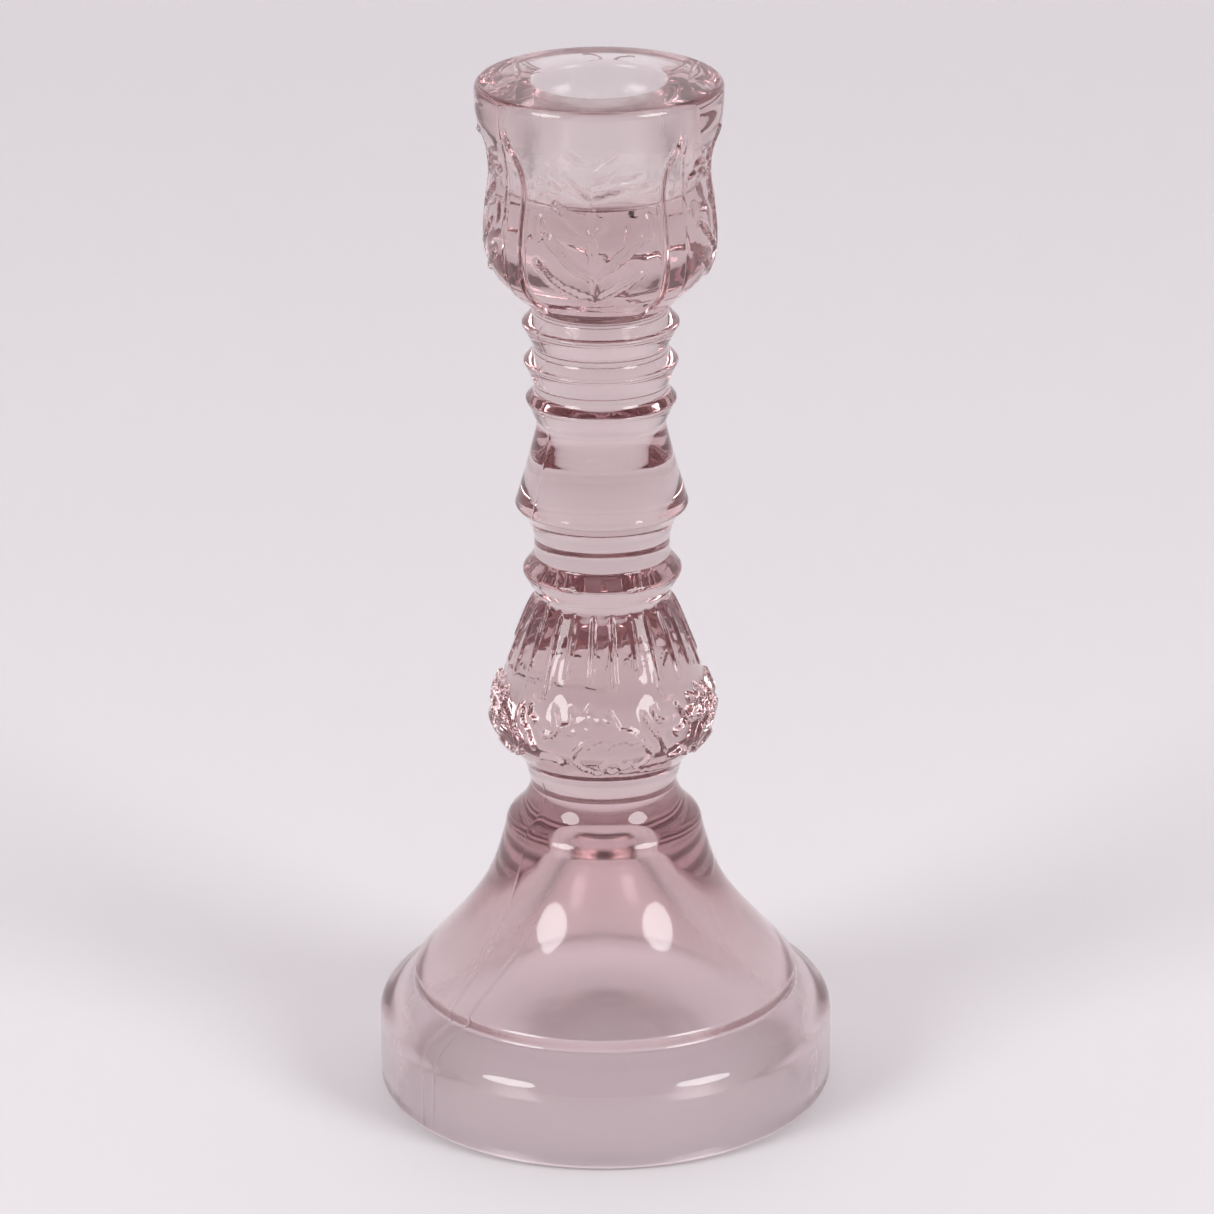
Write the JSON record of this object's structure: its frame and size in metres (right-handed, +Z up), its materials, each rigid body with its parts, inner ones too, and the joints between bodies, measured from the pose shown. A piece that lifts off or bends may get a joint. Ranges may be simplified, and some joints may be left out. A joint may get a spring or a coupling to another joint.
{
  "type": "glass candlestick",
  "caption": "Table candlestick in pale rose pressed glass: hollow bell foot, baluster and ringed stem, waisted socket for one taper candle",
  "frame": {"origin": "centre of the foot's ring where it stands on the table", "axes": "+Z runs up the candlestick's axis to the socket; +X is to the right and -Y towards the viewer when a pair of the cup's ribs is seen from the front"},
  "size_m": [0.0826, 0.0826, 0.19],
  "materials": {
    "rose_glass": "clear rose-tinted pressed glass, fire-polished with soft mould marks"
  },
  "bodies": {
    "root": {"foot_band": "rose_glass", "bell_foot": "rose_glass", "foot_collar": "rose_glass", "baluster_knop": "rose_glass", "ring_knop": "rose_glass", "flared_knop": "rose_glass", "collar_ring_lower": "rose_glass", "collar_ring_middle": "rose_glass", "collar_ring_upper": "rose_glass", "socket_cup": "rose_glass"}
  },
  "joints": []
}
